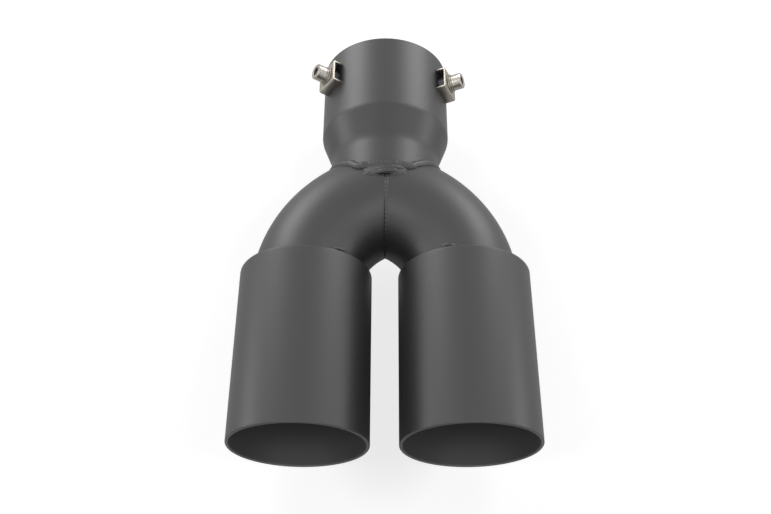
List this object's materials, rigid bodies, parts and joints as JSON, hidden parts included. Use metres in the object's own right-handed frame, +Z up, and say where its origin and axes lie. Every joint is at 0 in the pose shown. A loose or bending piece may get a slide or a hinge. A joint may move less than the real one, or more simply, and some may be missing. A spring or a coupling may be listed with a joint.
{
  "type": "exhaust tip",
  "caption": "Bolt-on dual exhaust tip: an inlet collar with clamp screws feeds two side-by-side round outlets through a welded pair of bends.",
  "frame": {"origin": "centre of the inlet's rim, on the collar's axis", "axes": "+Y out of the inlet towards the tail pipe, both outlets towards -Y, +Z up as the tip lies on its back with its clamp screws upwards"},
  "size_m": [0.1676, 0.2499, 0.0792],
  "materials": {
    "black_coat": "matte black powder coat on steel",
    "bracket_steel": "bright plated steel strip",
    "nut_steel": "matte black",
    "washer_steel": "bright plated",
    "screw_steel": "bright plated, socket head"
  },
  "bodies": {
    "tip": {"inlet_collar": "black_coat", "left_bend": "black_coat", "right_bend": "black_coat", "left_outlet": "black_coat", "right_outlet": "black_coat", "collar_weld": "black_coat", "mitre_weld": "black_coat", "left_outlet_weld": "black_coat", "right_outlet_weld": "black_coat", "left_bracket": "bracket_steel", "left_nut": "nut_steel", "left_flat_washer": "washer_steel", "left_lock_washer": "washer_steel", "right_bracket": "bracket_steel", "right_nut": "nut_steel", "right_flat_washer": "washer_steel", "right_lock_washer": "washer_steel"},
    "left_screw": {"left_clamp_screw": "screw_steel"},
    "right_screw": {"right_clamp_screw": "screw_steel"}
  },
  "joints": [
    {"name": "left_screw_travel", "type": "slide", "parent": "tip", "child": "left_screw", "axis": [-0.8141, 0, 0.5807], "range_m": [0, 0.006]},
    {"name": "right_screw_travel", "type": "slide", "parent": "tip", "child": "right_screw", "axis": [0.91, 0, 0.4147], "range_m": [0, 0.006]}
  ]
}
